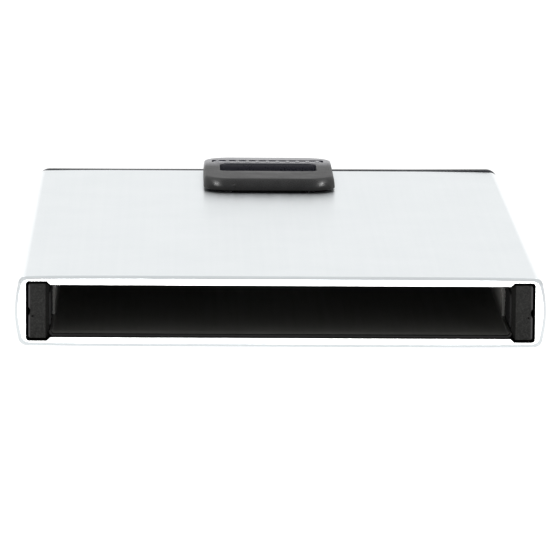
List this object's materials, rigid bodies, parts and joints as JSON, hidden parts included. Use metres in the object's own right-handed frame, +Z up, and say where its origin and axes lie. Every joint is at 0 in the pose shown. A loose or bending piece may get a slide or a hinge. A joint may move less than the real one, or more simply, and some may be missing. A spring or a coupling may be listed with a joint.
{
  "type": "eyeglasses case",
  "caption": "Slim pocket case: flat open-ended aluminium sleeve with black channel blocks, black lining, a rear cap and a sliding strap loop.",
  "frame": {"origin": "middle of the footprint, on the surface the case lies on", "axes": "+Y from the open mouth towards the end cap, +Z up through the face that carries the strap loop"},
  "size_m": [0.0654, 0.092, 0.0106],
  "materials": {
    "satin_aluminium": "satin anodised, fine bead-blast grain",
    "liner_black": "semi-gloss thin black sheet",
    "block_black": "finely speckled matt moulding",
    "pad_rubber": "matt",
    "cap_black": "fine moulded texture",
    "zinc_steel": "zinc plated",
    "bumper_felt": "pressed felt",
    "guide_black": "smooth matt",
    "spring_steel": "polished strip",
    "loop_black": "semi-gloss moulding, worn edges",
    "rib_black": "semi-gloss ribs",
    "acetal_white": "smooth"
  },
  "bodies": {
    "case": {"shell": "satin_aluminium", "inner_liner": "liner_black", "mouth_block_left": "block_black", "mouth_block_right": "block_black", "rear_block_left": "block_black", "rear_block_right": "block_black", "grip_pad_left": "pad_rubber", "grip_pad_right": "pad_rubber", "end_cap": "cap_black", "cap_screw_left": "zinc_steel", "cap_screw_right": "zinc_steel", "end_bumper": "bumper_felt", "slide_guide": "guide_black", "detent_spring_left": "spring_steel", "detent_spring_right": "spring_steel"},
    "slider": {"strap_loop": "loop_black", "grip_rib_strip": "rib_black", "carriage": "acetal_white", "carriage_screw_left": "zinc_steel", "carriage_screw_right": "zinc_steel"}
  },
  "joints": [
    {"name": "loop_slide", "type": "slide", "parent": "case", "child": "slider", "axis": [0, 1, 0], "range_m": [0, 0.013]}
  ]
}
